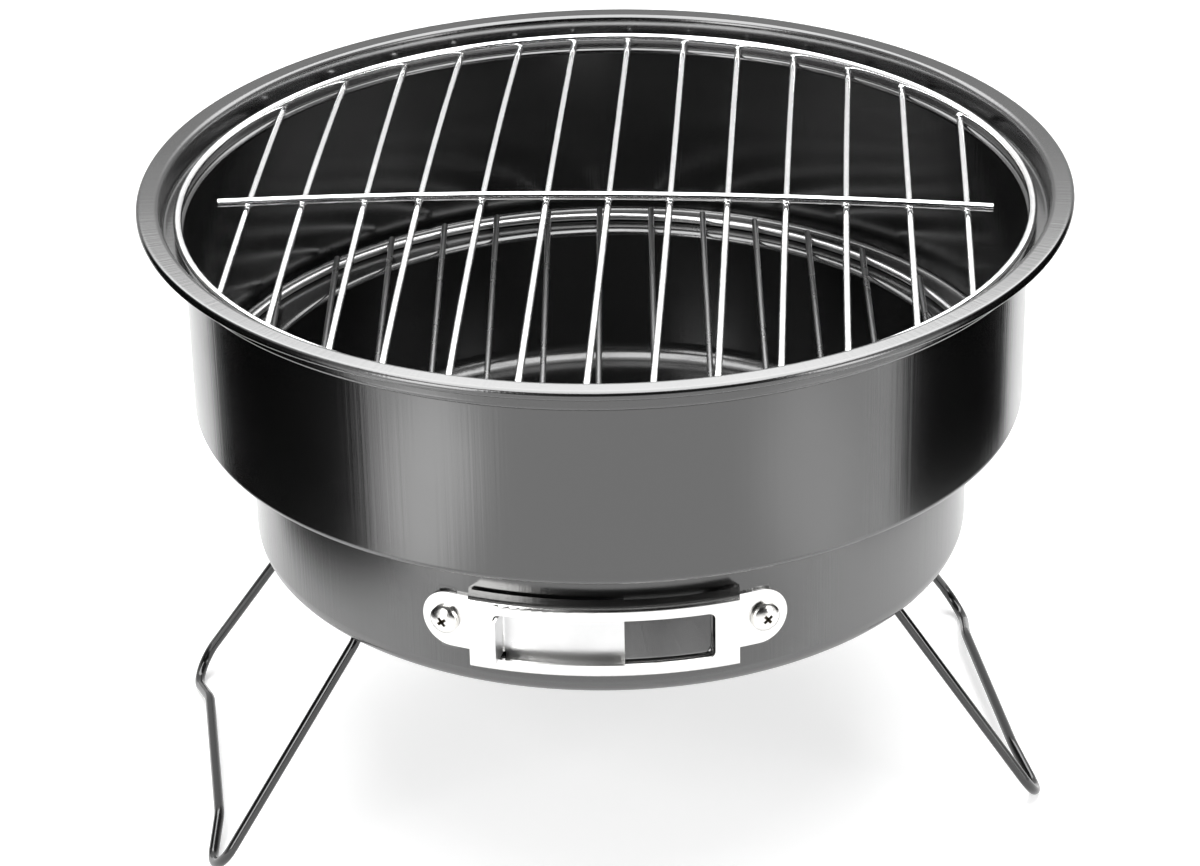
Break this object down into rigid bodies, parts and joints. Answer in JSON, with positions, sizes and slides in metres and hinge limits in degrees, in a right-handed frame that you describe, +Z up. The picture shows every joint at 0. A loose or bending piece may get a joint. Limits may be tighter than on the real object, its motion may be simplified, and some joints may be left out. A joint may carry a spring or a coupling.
{
  "type": "portable tabletop grill",
  "caption": "Round black steel tabletop charcoal grill with a wire cooking grate, a charcoal grate, a sliding front air vent and two folding wire legs.",
  "frame": {"origin": "on the table under the middle of the bowl, between the feet of the open legs", "axes": "+Z up, -Y towards the air vent at the front, +X to the right as seen from the front"},
  "size_m": [0.265, 0.265, 0.185],
  "materials": {
    "bowl_enamel": "satin black heat-proof coating",
    "bracket_black": "semi-gloss black",
    "leg_black": "gloss black",
    "vent_nickel": "bright nickel plate",
    "shutter_steel": "polished plate",
    "screw_nickel": "bright nickel plate",
    "zinc_steel": "zinc plate",
    "cooking_chrome": "bright chrome-plated wire",
    "charcoal_zinc": "satin zinc-plated wire"
  },
  "bodies": {
    "bowl_assembly": {"bowl": "bowl_enamel", "vent_bracket": "vent_nickel", "vent_screws": "screw_nickel", "vent_nuts": "zinc_steel", "left_leg_bracket": "bracket_black", "right_leg_bracket": "bracket_black", "leg_bracket_rivets": "zinc_steel"},
    "cooking_grate": {"cooking_ring": "cooking_chrome", "cooking_crossbar": "cooking_chrome", "cooking_rod_1": "cooking_chrome", "cooking_rod_2": "cooking_chrome", "cooking_rod_3": "cooking_chrome", "cooking_rod_4": "cooking_chrome", "cooking_rod_5": "cooking_chrome", "cooking_rod_6": "cooking_chrome", "cooking_rod_7": "cooking_chrome", "cooking_rod_8": "cooking_chrome", "cooking_rod_9": "cooking_chrome", "cooking_rod_10": "cooking_chrome", "cooking_rod_11": "cooking_chrome", "cooking_rod_12": "cooking_chrome", "cooking_rod_13": "cooking_chrome"},
    "charcoal_grate": {"charcoal_ring": "charcoal_zinc", "charcoal_rod_1": "charcoal_zinc", "charcoal_rod_2": "charcoal_zinc", "charcoal_rod_3": "charcoal_zinc", "charcoal_rod_4": "charcoal_zinc", "charcoal_rod_5": "charcoal_zinc", "charcoal_rod_6": "charcoal_zinc", "charcoal_rod_7": "charcoal_zinc", "charcoal_rod_8": "charcoal_zinc", "charcoal_rod_9": "charcoal_zinc", "charcoal_rod_10": "charcoal_zinc", "charcoal_rod_11": "charcoal_zinc", "charcoal_rod_12": "charcoal_zinc", "charcoal_rod_13": "charcoal_zinc"},
    "shutter": {"vent_shutter": "shutter_steel"},
    "left_leg": {"left_leg": "leg_black"},
    "right_leg": {"right_leg": "leg_black"}
  },
  "joints": [
    {"name": "cooking_grate_lift", "type": "slide", "parent": "bowl_assembly", "child": "cooking_grate", "axis": [0, 0, 1], "range_m": [0, 0.2]},
    {"name": "charcoal_grate_lift", "type": "slide", "parent": "bowl_assembly", "child": "charcoal_grate", "axis": [0, 0, 1], "range_m": [0, 0.12]},
    {"name": "vent_slide", "type": "hinge", "parent": "bowl_assembly", "child": "shutter", "pos_m": [0, 0, 0.0979], "axis": [0, 0, 1], "range_deg": [0, 15]},
    {"name": "left_leg_fold", "type": "hinge", "parent": "bowl_assembly", "child": "left_leg", "pos_m": [-0.07714, -0.01023, 0.072], "axis": [0.1219, -0.9925, 0], "range_deg": [0, 120.5]},
    {"name": "right_leg_fold", "type": "hinge", "parent": "bowl_assembly", "child": "right_leg", "pos_m": [0.07154, 0.00803, 0.072], "axis": [-0.1219, 0.9925, 0], "range_deg": [0, 124.5]}
  ],
  "couplings": [
    {"joint": "charcoal_grate_lift", "follows": "cooking_grate_lift", "ratio": 0.6}
  ]
}
